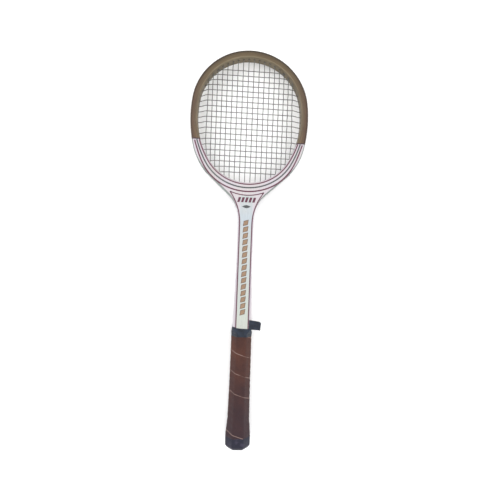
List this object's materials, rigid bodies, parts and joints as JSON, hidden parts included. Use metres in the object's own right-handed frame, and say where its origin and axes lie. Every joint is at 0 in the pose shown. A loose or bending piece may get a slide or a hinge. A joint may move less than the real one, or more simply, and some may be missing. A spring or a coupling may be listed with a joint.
{
  "type": "wooden racket",
  "caption": "Laminated wooden racket with an oval strung hoop, a solid throat wedge, a straight painted shaft and an octagonal leather grip with a taped collar.",
  "frame": {"origin": "middle of the butt's flat end face", "axes": "+Y along the racket from butt to head, +Z square to the strings, +X across; it lies on its -Z face"},
  "size_m": [0.202, 0.685, 0.034],
  "materials": {
    "stained_ash": "dark stained and varnished laminated ash, painted white below the shoulders",
    "ash": "varnished laminated ash, olive brown with age, painted white below the shoulders",
    "wedge_wood": "beech wedge and core, painted white where they show",
    "white_lacquer": "white gloss lacquer over a thin fibre facing, with red and grey pin stripes",
    "cheek_wood": "light handle wood, painted white above the grip",
    "string": "grey nylon string, slightly glossy",
    "tack_steel": "plain bright nail",
    "butt_cap": "blue-black moulded cap with a dull grain",
    "grip_leather": "brown calf leather wrapped in a spiral, darker and bluer with wear towards the butt",
    "collar_tape": "black vinyl tape"
  },
  "bodies": {
    "root": {"outer_bow": "stained_ash", "middle_bow": "ash", "inner_bow": "ash", "ring_outer": "ash", "ring_inner": "ash", "throat_wedge": "wedge_wood", "shaft_core": "wedge_wood", "front_overlay": "white_lacquer", "back_overlay": "white_lacquer", "front_cheek": "cheek_wood", "back_cheek": "cheek_wood", "right_cheek": "cheek_wood", "left_cheek": "cheek_wood", "main_string": "string", "cross_string": "string", "string_knots": "string", "grip_tack": "tack_steel", "butt_cap": "butt_cap", "leather_grip": "grip_leather", "collar_tape": "collar_tape"}
  },
  "joints": []
}
